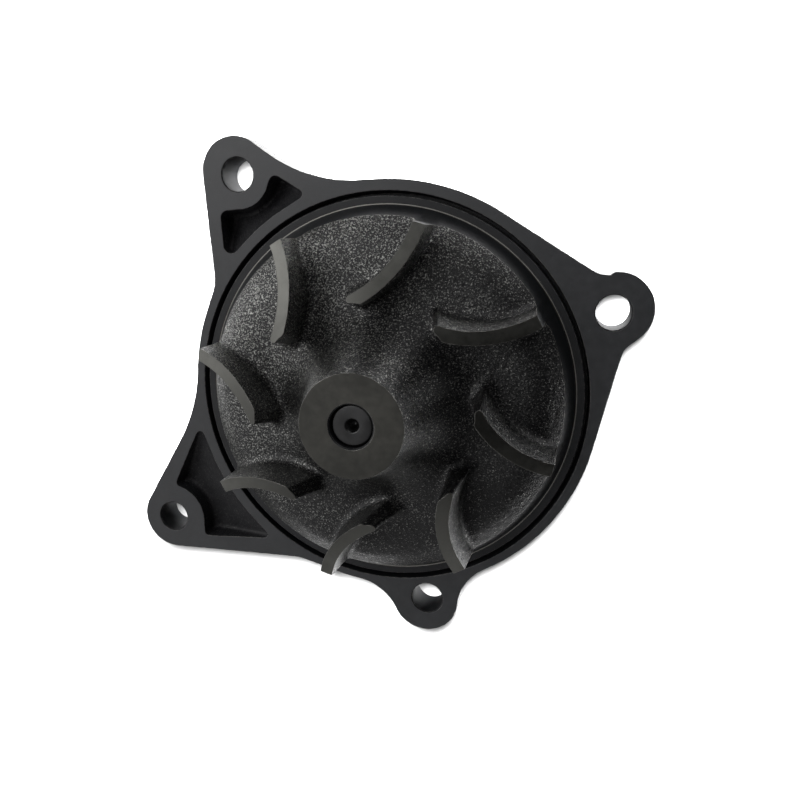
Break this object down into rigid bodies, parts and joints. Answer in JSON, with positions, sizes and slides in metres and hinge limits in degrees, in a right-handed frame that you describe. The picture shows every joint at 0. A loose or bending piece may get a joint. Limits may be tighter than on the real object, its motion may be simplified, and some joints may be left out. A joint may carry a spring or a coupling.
{
  "type": "engine water pump",
  "caption": "Coolant pump with an open bladed impeller in a round register, a cast mounting flange with bolt ears, and a shaft on ball bearings to a drive hub.",
  "frame": {"origin": "where the shaft axis meets the outer face of the drive hub, 100 mm below the flange's machined gasket face", "axes": "+Z along the shaft towards the impeller, out of the gasket face; +Y towards the ear with the upper cast pocket; +X towards the single ear opposite the side pocket"},
  "size_m": [0.1757, 0.1665, 0.1402],
  "materials": {
    "housing_iron": "dark grey sand-cast iron with a ground gasket face, lightly oiled",
    "impeller_iron": "rough sand-cast iron, black, with turned rim, hub and vane tops",
    "shaft_steel": "ground steel, darkened by oil",
    "hub_steel": "turned steel with a dull dark oxide finish",
    "bearing_steel": "ground and polished bearing steel",
    "cage_nylon": "moulded polyamide, straw brown",
    "shield_steel": "pressed steel sheet",
    "spring_steel": "drawn stainless wire and sheet",
    "seal_brass": "drawn brass, satin",
    "seal_rubber": "moulded black nitrile rubber, matt",
    "seal_carbon": "lapped carbon graphite, satin black",
    "seal_ceramic": "lapped alumina ceramic, ivory"
  },
  "bodies": {
    "housing": {"pump_housing": "housing_iron", "front_bearing_outer_race": "bearing_steel", "front_bearing_shield": "shield_steel", "rear_bearing_outer_race": "bearing_steel", "rear_bearing_shield": "shield_steel", "circlip": "spring_steel", "seal_case": "seal_brass", "seal_bellows": "seal_rubber", "seal_spring": "spring_steel"},
    "rotor": {"pump_shaft": "shaft_steel", "impeller": "impeller_iron", "drive_hub": "hub_steel", "front_bearing_inner_race": "bearing_steel", "rear_bearing_inner_race": "bearing_steel", "bearing_spacer": "shield_steel", "seal_ceramic_ring": "seal_ceramic", "seal_ceramic_cup": "seal_rubber", "water_slinger": "seal_rubber"},
    "front_cage": {"front_bearing_cage": "cage_nylon", "front_bearing_ball_1": "bearing_steel", "front_bearing_ball_2": "bearing_steel", "front_bearing_ball_3": "bearing_steel", "front_bearing_ball_4": "bearing_steel", "front_bearing_ball_5": "bearing_steel", "front_bearing_ball_6": "bearing_steel", "front_bearing_ball_7": "bearing_steel", "front_bearing_ball_8": "bearing_steel"},
    "rear_cage": {"rear_bearing_cage": "cage_nylon", "rear_bearing_ball_1": "bearing_steel", "rear_bearing_ball_2": "bearing_steel", "rear_bearing_ball_3": "bearing_steel", "rear_bearing_ball_4": "bearing_steel", "rear_bearing_ball_5": "bearing_steel", "rear_bearing_ball_6": "bearing_steel", "rear_bearing_ball_7": "bearing_steel"},
    "seal_head": {"seal_carbon_ring": "seal_carbon", "seal_spring_washer": "spring_steel"}
  },
  "joints": [
    {"name": "shaft_spin", "type": "hinge", "parent": "housing", "child": "rotor", "pos_m": [0, 0, 0], "axis": [0, 0, 1], "continuous": true},
    {"name": "front_cage_orbit", "type": "hinge", "parent": "housing", "child": "front_cage", "pos_m": [0, 0, 0.0607], "axis": [0, 0, 1], "continuous": true},
    {"name": "rear_cage_orbit", "type": "hinge", "parent": "housing", "child": "rear_cage", "pos_m": [0, 0, 0.0357], "axis": [0, 0, 1], "continuous": true},
    {"name": "seal_head_slide", "type": "slide", "parent": "housing", "child": "seal_head", "axis": [0, 0, 1], "range_m": [-0.0015, 0], "stiffness_N_per_m": 4000, "deforming": ["seal_spring", "seal_bellows"]}
  ],
  "couplings": [
    {"joint": "front_cage_orbit", "follows": "shaft_spin", "ratio": 0.3818},
    {"joint": "rear_cage_orbit", "follows": "shaft_spin", "ratio": 0.3513}
  ]
}
